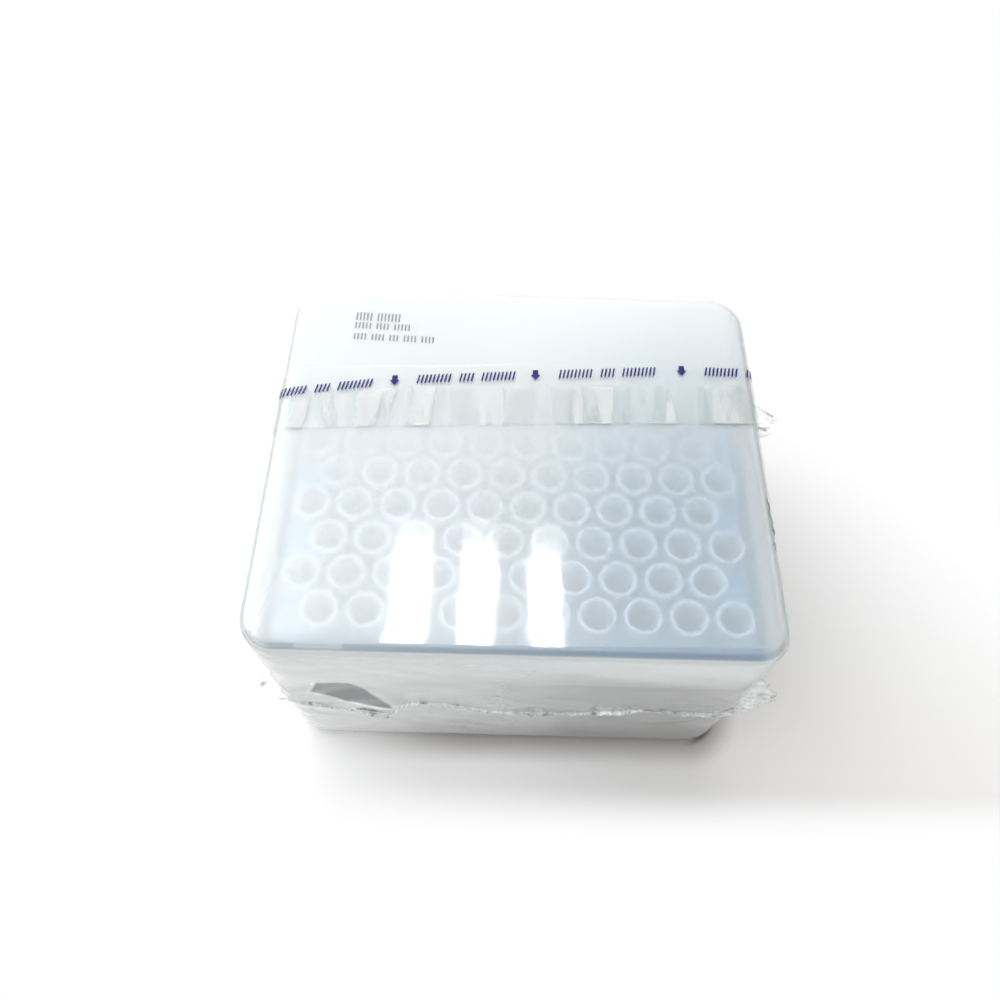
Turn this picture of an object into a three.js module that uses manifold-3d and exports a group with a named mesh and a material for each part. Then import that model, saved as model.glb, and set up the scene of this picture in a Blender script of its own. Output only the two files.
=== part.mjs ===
// A hinged plastic box of 1000 microlitre pipette tips, sealed in clear shrink film that carries a
// tear strip. Millimetres, +Z up, +Y towards the hinge. The origin is the middle of the resting face.

import * as THREE from 'three';
import { mergeVertices } from 'three/addons/utils/BufferGeometryUtils.js';
import Module from 'manifold-3d';

const wasm = await Module();
wasm.setup();

// Tips: rows shifted by half a pitch in turn, so that they pack as a honeycomb.
const tipsPerRow = 10;
const tipRows = 10;
const tipPitch = 11;
const tipLength = 70.2;
const tipSides = 8;
const headLength = 10; // the part of a tip that stands above the deck
const headRadius = 4.65;
const headBoreRadius = 3.75;
const shoulderRadius = 3.45; // just under the deck
const waistRadius = 2.55;
const waistDrop = 42; // from the rim down to where the taper steepens
const pointRadius = 0.8;
const pointBoreRadius = 0.45;

// Box: base and lid share one outline, a rounded rectangle around the tips.
const headMargin = 6.9; // from the outermost heads to the outside of the box
const cornerRadius = 8.5;
const cornerSegments = 3; // half the facets around each corner
const edgeRadius = 2; // along the lid's top edge and the base's lower edge
const edgeSegments = 3;
const wall = 1.5;
const floorThickness = 1.2;
const footWidth = 6;
const footHeight = 1;
const lidThickness = 1.6;
const headroom = 2.2; // from the tips' rims to the underside of the lid
const pointClearance = 0.6; // from the tips' points to the floor
const fitGap = 0.3; // between pieces that touch in the real box

// The base's upper rim: a shoulder that the lid sits on and an upstand inside the lid's skirt.
const rimDepth = 2;
const upstandWall = 1.2;
const upstandHeight = 3;
const partingRise = 3.2; // from the ledge up to the shoulder

// Deck: a raised plate with a skirt that stands on a ledge in the base.
const deckThickness = 1.6;
const deckWall = 1.2;
const deckSkirt = 12;
const deckClearance = 0.8;
const ledgeThickness = 1.5;
const ledgeOverlap = 0.8;

// Snap hinges: pins moulded between lugs on the base, and open barrels on the lid.
const hingeSpacing = 72;
const hingeLength = 20;
const hingeRadius = 1.6;
const pinRadius = 0.65;
const lugWidth = 3;
const lugRoot = 4;
const snapSlot = 0.9;
const roundSides = 12;

// Film and tear strip, modelled thicker than the real foils.
const filmThickness = 0.3;
const seamHeight = 33;
const finThickness = 0.6;
const finWidth = 2.4;
const longEar = 11.6; // how far a corner flap of the seam stands out past the film
const shortEar = 6;
const earBack = 22; // how far a flap runs along the side wall
const earFront = 7;
const ventRadius = 2;
const ventRise = 20;
const stripThickness = 0.3;
const stripWidth = 20;
const stripMiddle = 18; // from the box's middle towards the hinge
const stripSlant = 3.5; // degrees
const tabLength = 5;
const tabWidth = 9;
const tabDrop = 5; // below the top of the film

// Plan sizes
const rowPitch = tipPitch * Math.sqrt(3) / 2;
const boxWidth = (tipsPerRow - 0.5) * tipPitch + 2 * (headRadius + headMargin);
const boxDepth = (tipRows - 1) * rowPitch + 2 * (headRadius + headMargin);
const upstandInset = wall + fitGap;
const rimInset = upstandInset + upstandWall;
const deckInset = rimInset + deckClearance;
const ledgeInset = deckInset + deckWall + ledgeOverlap;

// Levels
const baseBottom = filmThickness + fitGap;
const floorTop = baseBottom + footHeight + floorThickness;
const pointLevel = floorTop + pointClearance;
const rimLevel = pointLevel + tipLength;
const boxTop = rimLevel + headroom + lidThickness;
const deckTop = rimLevel - headLength;
const deckBottom = deckTop - deckThickness;
const skirtBottom = deckTop - deckSkirt;
const ledgeTop = skirtBottom - fitGap;
const parting = ledgeTop + partingRise;
const hingeAxisY = boxDepth / 2 - hingeRadius;
const hingeAxisZ = parting + hingeRadius + 2 * fitGap;
const notchTop = hingeAxisZ + hingeRadius + fitGap;
const beyond = 5; // how far a cutting tool runs past what it cuts

function toSolid(geometry) {
  geometry.deleteAttribute('normal');
  geometry.deleteAttribute('uv');
  const merged = mergeVertices(geometry, 1e-4);
  return new wasm.Manifold(new wasm.Mesh({
    numProp: 3,
    vertProperties: new Float32Array(merged.attributes.position.array),
    triVerts: new Uint32Array(merged.index.array),
  }));
}

function toGeometry(solid) {
  const { vertProperties, triVerts } = solid.getMesh();
  const geometry = new THREE.BufferGeometry();
  geometry.setAttribute('position', new THREE.BufferAttribute(vertProperties, 3));
  geometry.setIndex(new THREE.BufferAttribute(triVerts, 1));
  geometry.computeVertexNormals();
  return geometry;
}

// A straight-sided block between two corners.
function block(low, high) {
  const size = high.map((value, axis) => value - low[axis]);
  const geometry = new THREE.BoxGeometry(...size);
  geometry.translate(...low.map((value, axis) => value + size[axis] / 2));
  return toSolid(geometry);
}

// A round bar along X.
function bar(radius, length, x, y, z) {
  const geometry = new THREE.CylinderGeometry(radius, radius, length, roundSides);
  geometry.rotateZ(Math.PI / 2);
  geometry.translate(x, y, z);
  return toSolid(geometry);
}

// A solid of revolution about Z, from points given as [radius, height].
function turned(profile, sides) {
  const points = profile.map(([radius, height]) => new THREE.Vector2(radius, height));
  const geometry = new THREE.LatheGeometry(points, sides);
  geometry.rotateX(Math.PI / 2);
  return toSolid(geometry);
}

// The box's outline, drawn in by inset, or out where inset is negative.
function outline(inset) {
  const halfX = boxWidth / 2 - inset;
  const halfY = boxDepth / 2 - inset;
  const radius = Math.max(cornerRadius - inset, wall);
  const shape = new THREE.Shape();
  shape.absarc(halfX - radius, radius - halfY, radius, -Math.PI / 2, 0);
  shape.absarc(halfX - radius, halfY - radius, radius, 0, Math.PI / 2);
  shape.absarc(radius - halfX, halfY - radius, radius, Math.PI / 2, Math.PI);
  shape.absarc(radius - halfX, radius - halfY, radius, Math.PI, Math.PI * 1.5);
  return shape;
}

// The outline as a block from bottom to top, with its edges rounded where edge is given.
function prism(inset, bottom, top, edge = 0) {
  const geometry = new THREE.ExtrudeGeometry(outline(inset), {
    depth: top - bottom - 2 * edge,
    curveSegments: cornerSegments,
    bevelEnabled: edge > 0,
    bevelThickness: edge,
    bevelSize: edge,
    bevelOffset: -edge,
    bevelSegments: edgeSegments,
  });
  geometry.translate(0, 0, bottom + edge);
  return toSolid(geometry);
}

// A ring between two insets.
function ring(outerInset, innerInset, bottom, top) {
  return prism(outerInset, bottom, top).subtract(prism(innerInset, bottom - beyond, top + beyond));
}

function everythingAbove(level) {
  return block([-boxWidth, -boxDepth, level], [boxWidth, boxDepth, boxTop + 2 * boxDepth]);
}

function everythingBelow(level) {
  return block([-boxWidth, -boxDepth, -2 * boxDepth], [boxWidth, boxDepth, level]);
}

const hingeCentres = [-hingeSpacing / 2, hingeSpacing / 2];

// Room in the upstand and the lid's skirt for one hinge.
function hingeRoom(x, depth, bottom, top) {
  const halfLength = hingeLength / 2 + fitGap;
  return block(
    [x - halfLength, boxDepth / 2 - depth, bottom],
    [x + halfLength, boxDepth / 2 + beyond, top],
  );
}

function makeBase() {
  let base = prism(0, baseBottom, parting + beyond, edgeRadius);
  base = base.subtract(everythingAbove(parting));
  base = base.subtract(prism(wall, floorTop, parting + beyond));
  base = base.subtract(prism(footWidth, baseBottom - beyond, baseBottom + footHeight));
  base = base.add(ring(wall / 2, ledgeInset, ledgeTop - ledgeThickness, ledgeTop));
  base = base.add(ring(wall / 2, rimInset, parting - rimDepth, parting));
  base = base.add(ring(upstandInset, rimInset, parting - rimDepth, parting + upstandHeight));
  for (const x of hingeCentres) {
    base = base.subtract(hingeRoom(x, rimInset + fitGap, parting, parting + upstandHeight + beyond));
    for (const side of [-1, 1]) {
      const middle = x + side * (hingeLength - lugWidth) / 2;
      base = base.add(block(
        [middle - lugWidth / 2, hingeAxisY - hingeRadius, parting - lugRoot],
        [middle + lugWidth / 2, hingeAxisY + hingeRadius, hingeAxisZ],
      ));
      base = base.add(bar(hingeRadius, lugWidth, middle, hingeAxisY, hingeAxisZ));
    }
    base = base.add(bar(pinRadius, hingeLength - lugWidth, x, hingeAxisY, hingeAxisZ));
  }
  return base;
}

function makeLid() {
  const skirtEdge = parting + fitGap;
  let lid = prism(0, parting - beyond, boxTop, edgeRadius).subtract(everythingBelow(skirtEdge));
  lid = lid.subtract(prism(wall, parting - beyond, boxTop - lidThickness));
  const barrelLength = hingeLength - 2 * (lugWidth + fitGap);
  for (const x of hingeCentres) {
    lid = lid.subtract(hingeRoom(x, 2 * wall, parting - beyond, notchTop));
    lid = lid.add(block(
      [x - barrelLength / 2, boxDepth / 2 - wall, hingeAxisZ],
      [x + barrelLength / 2, boxDepth / 2, notchTop + wall],
    ));
    lid = lid.add(bar(hingeRadius, barrelLength, x, hingeAxisY, hingeAxisZ));
    lid = lid.subtract(bar(pinRadius + fitGap, barrelLength + beyond, x, hingeAxisY, hingeAxisZ));
    lid = lid.subtract(block(
      [x - barrelLength / 2 - beyond, hingeAxisY - snapSlot / 2, parting - beyond],
      [x + barrelLength / 2 + beyond, hingeAxisY + snapSlot / 2, hingeAxisZ],
    ));
  }
  return lid;
}

// Where each tip stands, row by row from the front.
function tipPlaces() {
  const places = [];
  for (let row = 0; row < tipRows; row += 1) {
    const shift = (row % 2 === 0 ? 1 : -1) * tipPitch / 4;
    for (let column = 0; column < tipsPerRow; column += 1) {
      places.push([
        (column - (tipsPerRow - 1) / 2) * tipPitch + shift,
        (row - (tipRows - 1) / 2) * rowPitch,
      ]);
    }
  }
  return places;
}

// The deck with its tips standing in it. The head's foot ends halfway through the deck.
function makeDeck() {
  const tip = turned([
    [0, pointLevel],
    [pointRadius, pointLevel],
    [waistRadius, rimLevel - waistDrop],
    [shoulderRadius, deckBottom],
    [shoulderRadius, deckTop - deckThickness / 2],
    [headRadius, deckTop - deckThickness / 2],
    [headRadius, rimLevel],
    [0, rimLevel],
  ], tipSides);
  const flare = (headBoreRadius - pointBoreRadius) / tipLength;
  const bore = turned([
    [0, pointLevel - 1],
    [pointBoreRadius - flare, pointLevel - 1],
    [headBoreRadius + flare, rimLevel + 1],
    [0, rimLevel + 1],
  ], tipSides);
  let deck = prism(deckInset, skirtBottom, deckTop);
  deck = deck.subtract(prism(deckInset + deckWall, skirtBottom - beyond, deckBottom));
  for (const [x, y] of tipPlaces()) {
    deck = deck.add(tip.translate([x, y, 0])).subtract(bore.translate([x, y, 0]));
  }
  return deck;
}

// One flap of the seam, at the corner on the side of signX and signY.
function seamEar(signX, signY, reach) {
  const sideX = signX * (boxWidth / 2 + fitGap);
  const frontY = signY * (boxDepth / 2 + fitGap);
  const tipX = signX * (boxWidth / 2 + fitGap + filmThickness + reach);
  const shape = new THREE.Shape();
  shape.moveTo(sideX - signX * earFront, frontY - signY * finWidth);
  shape.lineTo(sideX - signX * earFront, frontY + signY * finWidth);
  shape.lineTo(tipX - signX * finWidth, frontY - signY * finWidth);
  shape.lineTo(tipX, frontY - signY * 2 * finWidth);
  shape.lineTo(sideX - signX * wall, frontY - signY * earBack);
  const geometry = new THREE.ExtrudeGeometry(shape, { depth: finThickness, bevelEnabled: false });
  geometry.translate(0, 0, seamHeight - finThickness / 2);
  return toSolid(geometry);
}

function makeFilm() {
  const outerInset = -fitGap - filmThickness;
  const finInset = outerInset - finWidth;
  let film = prism(outerInset, 0, boxTop + fitGap + filmThickness, edgeRadius);
  film = film.add(prism(finInset, seamHeight - finThickness / 2, seamHeight + finThickness / 2));
  film = film.add(seamEar(1, -1, longEar)).add(seamEar(-1, 1, longEar));
  film = film.add(seamEar(-1, -1, shortEar)).add(seamEar(1, 1, shortEar));
  film = film.subtract(prism(-fitGap, filmThickness, boxTop + fitGap, edgeRadius));
  const vent = turned([
    [0, -beyond],
    [ventRadius, -beyond],
    [ventRadius, beyond],
    [0, beyond],
  ], roundSides);
  return film.subtract(vent.rotate([90, 0, 0]).translate([0, boxDepth / 2, ventRise]));
}

function makeStrip() {
  const innerInset = -2 * fitGap - filmThickness;
  const topLevel = boxTop - innerInset;
  const skin = prism(innerInset - stripThickness, 0, topLevel + stripThickness, edgeRadius);
  const slant = THREE.MathUtils.degToRad(stripSlant);
  const band = new THREE.BoxGeometry(2 * boxWidth, stripWidth, 2 * boxTop);
  band.rotateZ(slant);
  band.translate(0, stripMiddle, seamHeight + finThickness / 2 + fitGap + boxTop);
  const strip = skin.subtract(prism(innerInset, -beyond, topLevel, edgeRadius)).intersect(toSolid(band));
  const wallX = boxWidth / 2 - innerInset;
  const tabY = stripMiddle + wallX * Math.tan(slant) - stripWidth / 4;
  const tabZ = boxTop - tabDrop;
  return strip.add(block(
    [wallX, tabY - tabWidth / 2, tabZ - stripThickness],
    [wallX + tabLength, tabY + tabWidth / 2, tabZ],
  ));
}

const naturalPlastic = { color: 0xe2e6e7, roughness: 0.42, metalness: 0 };
const bluePlastic = { color: 0x9fc0d6, roughness: 0.5, metalness: 0 };
const clearFilm = { color: 0xf4f6f7, roughness: 0.08, metalness: 0, transparent: true };

const pieces = [
  ['base_box', makeBase(), { ...naturalPlastic, transparent: true, opacity: 0.75 }],
  ['hinged_lid', makeLid(), { ...naturalPlastic, transparent: true, opacity: 0.55 }],
  ['tip_deck', makeDeck(), bluePlastic],
  ['film_wrap', makeFilm(), { ...clearFilm, opacity: 0.18 }],
  ['tear_strip', makeStrip(), { ...clearFilm, opacity: 0.3 }],
];

const tipBox = new THREE.Group();
for (const [name, solid, finish] of pieces) {
  const mesh = new THREE.Mesh(toGeometry(solid), new THREE.MeshStandardMaterial(finish));
  mesh.name = name;
  tipBox.add(mesh);
}

export default tipBox;
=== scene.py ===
from math import acos, cos, hypot, pi, radians, sin, sqrt, tan

import bpy
import numpy as np
from mathutils import Matrix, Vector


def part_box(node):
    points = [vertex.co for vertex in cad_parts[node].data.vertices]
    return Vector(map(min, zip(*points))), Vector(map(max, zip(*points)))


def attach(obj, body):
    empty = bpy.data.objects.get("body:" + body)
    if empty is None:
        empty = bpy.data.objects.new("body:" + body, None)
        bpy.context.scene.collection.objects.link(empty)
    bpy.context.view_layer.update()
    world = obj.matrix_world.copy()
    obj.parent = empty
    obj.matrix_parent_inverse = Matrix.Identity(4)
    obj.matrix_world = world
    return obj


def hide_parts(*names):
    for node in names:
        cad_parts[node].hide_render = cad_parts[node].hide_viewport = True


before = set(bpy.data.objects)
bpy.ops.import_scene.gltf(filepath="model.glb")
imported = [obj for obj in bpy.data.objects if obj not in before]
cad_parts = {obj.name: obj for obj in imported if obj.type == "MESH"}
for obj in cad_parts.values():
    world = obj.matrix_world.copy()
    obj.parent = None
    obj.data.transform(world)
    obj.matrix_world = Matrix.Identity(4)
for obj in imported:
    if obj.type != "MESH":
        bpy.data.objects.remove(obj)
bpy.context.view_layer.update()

mm = 0.001

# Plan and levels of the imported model, in metres
lidLow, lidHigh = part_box("hinged_lid")
baseLow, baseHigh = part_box("base_box")
deckLow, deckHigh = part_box("tip_deck")
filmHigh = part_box("film_wrap")[1]
boxWidth = lidHigh.x - lidLow.x
boxDepth = lidHigh.y - lidLow.y

plan = {
    "cornerRadius": 8.5 * mm,
    "edgeRadius": 2 * mm,
    "wall": 1.5 * mm,
    "lidThickness": 1.6 * mm,
    "deckInset": 3.8 * mm,
    "deckRise": 10 * mm,  # a tip's head above the deck
    "weldDistance": 1e-6,
}


def circleAt(turn):
    return np.stack([np.cos(turn), np.sin(turn)], axis=1)


# The box's outline, walked counterclockwise: any ring is core + (radius + offset) * normal, where
# the core runs round the inner rectangle.
def walkOutline(width, depth, radius, cornerSteps, sideSteps, endSteps):
    halfX, halfY = width / 2 - radius, depth / 2 - radius
    corners = np.array([[halfX, -halfY], [halfX, halfY], [-halfX, halfY], [-halfX, -halfY]])
    core, normal = [], []
    for k, corner in enumerate(corners):
        turn = np.linspace(0, pi / 2, cornerSteps + 1) + (k - 1) * pi / 2
        arc = circleAt(turn)
        steps = endSteps if k % 2 == 0 else sideSteps
        share = (np.arange(1, steps) / steps)[:, None]
        line = corner + share * (corners[(k + 1) % 4] - corner)
        core += [np.repeat(corner[None], len(arc), axis=0), line]
        normal += [arc, np.repeat(arc[-1:], len(line), axis=0)]
    return np.concatenate(core), np.concatenate(normal), radius


# A profile of (offset, height, shrink) carried round the outline. Shrink draws a whole ring
# towards the middle, and 0 is a pole.
def carry(outline, profile):
    core, normal, radius = outline
    offset, height, shrink = np.asarray(profile, float).T
    flat = core[None] + (radius + offset)[:, None, None] * normal[None]
    flat = flat * shrink[:, None, None]
    level = np.broadcast_to(height[:, None, None], flat.shape[:2] + (1,))
    return np.concatenate([flat, level], axis=2)


# A polyline of (offset, height, corner radius) whose inner corners become arcs. Each is the
# rational quadratic through the two tangent points with the corner as its control point.
def roundedLine(rows, steps=4):
    rows = np.asarray(rows, float)
    points = [rows[:1, :2]]
    t = np.linspace(0, 1, steps + 1)[:, None]
    for before, corner, after in zip(rows[:-2], rows[1:-1], rows[2:]):
        toBefore = before[:2] - corner[:2]
        toAfter = after[:2] - corner[:2]
        toBefore /= np.linalg.norm(toBefore)
        toAfter /= np.linalg.norm(toAfter)
        half = acos(np.clip(toBefore @ toAfter, -1, 1)) / 2
        if corner[2] == 0 or half > 1.55:
            points.append(corner[None, :2])
            continue
        reach = corner[2] / tan(half)
        weight = sin(half)
        top = ((1 - t) ** 2 * (corner[:2] + reach * toBefore) + t ** 2 * (corner[:2] + reach * toAfter)
               + 2 * t * (1 - t) * weight * corner[:2])
        points.append(top / ((1 - t) ** 2 + t ** 2 + 2 * t * (1 - t) * weight))
    points.append(rows[-1:, :2])
    return np.concatenate(points)


# Quads over a grid of rows and columns, closed round either way where asked.
def gridQuads(rows, columns, wrapRows=False, wrapColumns=False):
    index = np.arange(rows * columns).reshape(rows, columns)
    if wrapColumns:
        index = np.concatenate([index, index[:, :1]], axis=1)
    if wrapRows:
        index = np.concatenate([index, index[:1]], axis=0)
    quads = [index[:-1, :-1], index[:-1, 1:], index[1:, 1:], index[1:, :-1]]
    return np.stack(quads, axis=-1).reshape(-1, 4)


# The same quads for each of many copies of one grid.
def copiedQuads(quads, copies, pointsPerCopy):
    return (quads[None] + np.arange(copies)[:, None, None] * pointsPerCopy).reshape(-1, 4)


# Points that coincide become one, and quads that a pole closes become triangles.
def weld(points, quads):
    cells = np.round(points / plan["weldDistance"]).astype(np.int64)
    _, first, owner = np.unique(cells, axis=0, return_index=True, return_inverse=True)
    quads = owner.ravel()[quads]
    starts = quads[:, 0] == quads[:, 1]
    ends = quads[:, 2] == quads[:, 3]
    triangles = np.concatenate([quads[starts & ~ends][:, 1:], quads[ends & ~starts][:, :3]])
    return points[first], [quads[~(starts | ends)], triangles]


# A grid of points closed round its columns.
def weldGrid(grid):
    return weld(grid.reshape(-1, 3), gridQuads(*grid.shape[:2], wrapColumns=True))


def addObject(name, data):
    made = bpy.data.objects.new(name, data)
    bpy.context.scene.collection.objects.link(made)
    return made


# Faces come as one array for each number of corners.
def makePiece(name, points, faces, finish, stands=(), sharpAngle=35):
    mesh = bpy.data.meshes.new(name)
    corners = [face for part in faces for face in part.tolist()]
    mesh.from_pydata(points.tolist(), [], corners, shade_flat=False)
    mesh.set_sharp_from_angle(angle=radians(sharpAngle))
    mesh.materials.append(finish)
    piece = addObject(name, mesh)
    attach(piece, "root")
    if stands:
        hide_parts(*stands)
    print(name, len(points), "points")
    return piece


# A wall for a piece that is a single sheet.
def thicken(piece, thickness, offset):
    solid = piece.modifiers.new("wall", "SOLIDIFY")
    solid.thickness, solid.offset = thickness, offset


# A shader value. Arithmetic on it adds Math nodes to its tree.
class Wire:
    def __init__(self, graph, socket):
        self.graph, self.socket = graph, socket

    def math(self, operation, first, second=0.0):
        return self.graph.wire("ShaderNodeMath", {0: first, 1: second}, operation=operation)

    def __rsub__(self, other):
        return self.math("SUBTRACT", other, self)


mathMethods = {"__add__": "ADD", "__radd__": "ADD", "__sub__": "SUBTRACT", "__mul__": "MULTIPLY",
               "__rmul__": "MULTIPLY", "__pow__": "POWER", "size": "ABSOLUTE", "sine": "SINE",
               "atMost": "MINIMUM", "atLeast": "MAXIMUM"}
for method, operation in mathMethods.items():
    setattr(Wire, method, lambda value, other=0.0, operation=operation: value.math(operation, value, other))


class Graph:
    def __init__(self, tree):
        self.tree = tree
        tree.nodes.clear()

    # One node, with the values or links of its sockets, and its settings by name.
    def node(self, kind, sockets={}, **settings):
        made = self.tree.nodes.new(kind)
        for key, value in settings.items():
            setattr(made, key, value)
        for key, value in sockets.items():
            value = getattr(value, "socket", value)
            if isinstance(value, bpy.types.NodeSocket):
                self.tree.links.new(value, made.inputs[key])
            else:
                made.inputs[key].default_value = value
        return made

    def wire(self, kind, sockets={}, output=0, **settings):
        return Wire(self, self.node(kind, sockets, **settings).outputs[output])

    def shader(self, kind, sockets):
        return self.node(kind, sockets).outputs[0]

    def place(self):
        return self.wire("ShaderNodeTexCoord", output="Object")

    def axes(self):
        split = self.node("ShaderNodeSeparateXYZ", {0: self.place()})
        return [Wire(self, axis) for axis in split.outputs]

    # Cloudy noise, stretched by giving each axis its own scale.
    def clouds(self, scale, detail=3.0, stretch=(1, 1, 1)):
        spread = self.wire("ShaderNodeMapping", {"Vector": self.place(), "Scale": stretch})
        return self.wire("ShaderNodeTexNoise", {"Vector": spread, "Scale": scale, "Detail": detail})

    # A value that runs from 0 to 1 between two levels of another.
    def span(self, value, low, high):
        return self.wire("ShaderNodeMapRange", {0: value, 1: low, 2: high}, interpolation_type="SMOOTHSTEP")

    def blendColour(self, factor, first, second):
        return self.wire("ShaderNodeMix", {0: factor, 6: first, 7: second}, 2, data_type="RGBA")

    def bump(self, height, strength, distance):
        return self.wire("ShaderNodeBump", {"Height": height, "Strength": strength, "Distance": distance})

    def principled(self, **sockets):
        named = {key.replace("_", " "): value for key, value in sockets.items()}
        return self.shader("ShaderNodeBsdfPrincipled", named)

    def mixShader(self, factor, first, second):
        return self.shader("ShaderNodeMixShader", {0: factor, 1: first, 2: second})

    def finish(self, shader, kind="ShaderNodeOutputMaterial"):
        self.node(kind, {0: shader})


def newFinish(name):
    material = bpy.data.materials.new(name)
    material.use_nodes = True
    return material, Graph(material.node_tree)


frosted = {
    "colour": (0.90, 0.96, 1.0, 1),
    "shade": (0.85, 0.93, 0.98, 1),
    "roughness": 0.30,
    "ior": 1.49,
    "milk": (0.20, 0.84),  # share of milky scatter on the lid's flat top: clearest in front on the right
    "milkInMargin": 0.50,  # on the top along its sides and back
    "milkAtEdge": 0.88,  # on the rounded edge
    "backSpan": (-22 * mm, 58 * mm),
    "leftSpan": (-2 * mm, 30 * mm),
    "leftMilk": 0.05,
    # painted light: how far the top turns white on the left
    "paintedLightOnLeft": 0.9,
    "margin": (4 * mm, 8.4 * mm),  # how far in the margin runs
    "edge": (1.8 * mm, 3 * mm),
    "frontEdge": (0.35 * mm, 0.55 * mm),
    "topColour": (0.72, 0.85, 0.95, 1),
    "marginColour": (0.74, 0.77, 0.79, 1),
    # painted light: the white of the top towards the back and on the left
    "paintedLightColour": (0.95, 0.965, 0.975, 1),
    # painted shade: a dark line round the lid's top edge
    "paintedEdgeShadeColour": (0.42, 0.45, 0.46, 1),
    # the line of the deck's blue along the front edge, left and right: painted shade, the deck in shade as seen
    # through the lid
    "paintedDeckShadeColours": ((0.50, 0.60, 0.69, 1), (0.27, 0.38, 0.52, 1)),
    "gapColour": (0.84, 0.89, 0.94, 1),
    "stripMilk": 0.72,
    "stripWidth": (2.2 * mm, 0.0155),  # at the middle and its growth towards the right
    "stripGap": (-50 * mm, -40 * mm),
    "grain": 1400.0,
    "glow": 0.3,  # share of the milk that lets light through
}


# How far inside the box's outline a place is in plan, as far in as the corner radius.
def insideEdge(x, y):
    overX = (x.size() - (boxWidth / 2 - plan["cornerRadius"])).atLeast(0.0)
    overY = (y.size() - (boxDepth / 2 - plan["cornerRadius"])).atLeast(0.0)
    return plan["cornerRadius"] - (overX * overX + overY * overY) ** 0.5


# Natural polypropylene: rough glass with a milky share, low on the lid's top in front, more towards
# its left, back and margin, and highest on the rounded edges and the walls.
# Its milky colour also carries painted light and shade: whiter towards the back and on the left, a dark line
# round the top's edge, the deck's shaded blue along the front edge, and walls darker low down.
def frostedFinish(name, milkOnWalls, paintedShadeWallColours, wallSpan):
    material, g = newFinish(name)
    x, y, height = g.axes()
    f = frosted
    cloud = g.clouds(45.0)
    grain = g.clouds(f["grain"], 2.0)
    # painted shade: the walls' milky colour darker low down
    paintedWallShade = g.blendColour(g.span(height, *wallSpan), *paintedShadeWallColours)
    top = g.span(height, lidHigh.z - 5 * mm, lidHigh.z - 2 * mm)
    inside = insideEdge(x, y)
    insideBack = insideEdge(x, y.atLeast(0.0))
    margin = 1 - g.span(insideBack, *f["margin"])
    edge = (1 - g.span(insideBack, *f["edge"])).atLeast(1 - g.span(inside, *f["frontEdge"]))
    left = 1 - g.span(x, *f["leftSpan"])
    front = 1 - g.span(y, *f["backSpan"])
    # painted light: the top whiter towards the back and on the left
    white = 1 - (1 - left * f["paintedLightOnLeft"]) * front
    # painted shade: a strip along the front edge in the deck's shaded blue, with more milk so that it shows
    strip = 1 - g.span(y - x * f["stripWidth"][1], f["stripWidth"][0] - boxDepth / 2,
                       f["stripWidth"][0] + 0.5 * mm - boxDepth / 2)
    gapStart, gapEnd = f["stripGap"]
    gap = g.span(x, gapStart - 1 * mm, gapStart) * (1 - g.span(x, gapEnd, gapEnd + 1 * mm))
    strip = strip * (1 - margin)
    low, high = f["milk"]
    flat = high - (1 - left * f["leftMilk"]) * front * (high - low)
    flat = flat.atLeast(margin * f["milkInMargin"]).atLeast(strip * f["stripMilk"])
    flat = flat + edge * (f["milkAtEdge"] - flat)
    milk = milkOnWalls + top * (flat - milkOnWalls) + (cloud - 0.5) * 0.06
    # painted shade: a thin dark line along the top's outer edge at the sides and back, and a ring just inside
    # the edge all round, fainter on the right
    line = (1 - g.span(insideBack, 0.25 * mm, 0.5 * mm)).atLeast(
        g.span(inside, 0.25 * mm, 0.4 * mm) * (1 - g.span(inside, 0.6 * mm, 0.8 * mm)))
    scatter = g.blendColour(margin, f["topColour"], f["marginColour"])
    scatter = g.blendColour(white, scatter, f["paintedLightColour"])
    # the painted shaded deck blue, darker to the right, with a paler gap on the left
    stripColour = g.blendColour(g.span(x, -50 * mm, 35 * mm), *f["paintedDeckShadeColours"])
    stripColour = g.blendColour(gap * 0.9, stripColour, f["gapColour"])
    scatter = g.blendColour(strip, scatter, stripColour)
    scatter = g.blendColour(1 - g.span(inside, *f["frontEdge"]), scatter, paintedWallShade)
    scatter = g.blendColour(line * (0.65 - 0.4 * g.span(x, 30 * mm, 60 * mm)), scatter, f["paintedEdgeShadeColour"])
    scatter = g.blendColour(top, paintedWallShade, scatter)
    normal = g.bump(grain, 0.12, 0.0001)
    roughness = f["roughness"] + (cloud - 0.5) * 0.04
    colour = g.blendColour(cloud, f["colour"], f["shade"])
    glassy = g.principled(Base_Color=colour, Roughness=roughness, IOR=f["ior"],
                          Transmission_Weight=1.0, Normal=normal)
    milky = g.principled(Base_Color=scatter, Roughness=0.45, Normal=normal)
    glow = g.shader("ShaderNodeBsdfTranslucent", {"Color": scatter})
    g.finish(g.mixShader(milk, glassy, g.mixShader(f["glow"], milky, glow)))
    return material


tipLook = {
    "colour": (0.88, 0.96, 1.0, 1),
    "paintedShadeLow": (0.46, 0.72, 0.93, 1),  # painted shade lower down the tips: darker and bluer, standing in for the shade there and the blue light from the deck
    "roughness": 0.34,
    "clear": 0.2,
}


def tipFinish():
    material, g = newFinish("tip_plastic")
    cloud = g.clouds(120.0)
    _, _, height = g.axes()
    # painted shade: the tips darker and bluer lower down
    rise = g.span(height, deckHigh.z - 14 * mm, deckHigh.z - 0.5 * mm)
    colour = g.blendColour(rise * (0.85 + cloud * 0.3), tipLook["paintedShadeLow"], tipLook["colour"])
    g.finish(g.principled(Base_Color=colour, Roughness=tipLook["roughness"] + (cloud - 0.5) * 0.06, IOR=1.49,
                          Transmission_Weight=tipLook["clear"], Normal=g.bump(cloud, 0.1, 0.0002)))
    return material


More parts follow.
